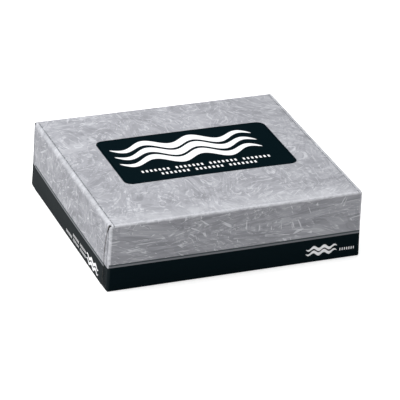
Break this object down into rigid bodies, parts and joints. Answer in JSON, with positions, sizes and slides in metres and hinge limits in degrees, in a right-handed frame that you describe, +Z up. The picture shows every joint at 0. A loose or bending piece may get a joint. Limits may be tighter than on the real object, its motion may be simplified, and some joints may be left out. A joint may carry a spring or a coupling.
{
  "type": "tissue box",
  "caption": "Flat sealed tissue box: low paperboard carton with glued end flaps, a perforated tear-out opening in the top and a dark band round its base.",
  "frame": {"origin": "middle of the base, on the surface that the box stands on", "axes": "+Z up through the top panel with the tear-out opening; +X along the long side, towards one glued end; -Y out of the front panel"},
  "size_m": [0.142, 0.127, 0.038],
  "materials": {
    "printed_board": "satin coated print, grey marbled with a black base band"
  },
  "bodies": {
    "root": {"carton": "printed_board"}
  },
  "joints": []
}
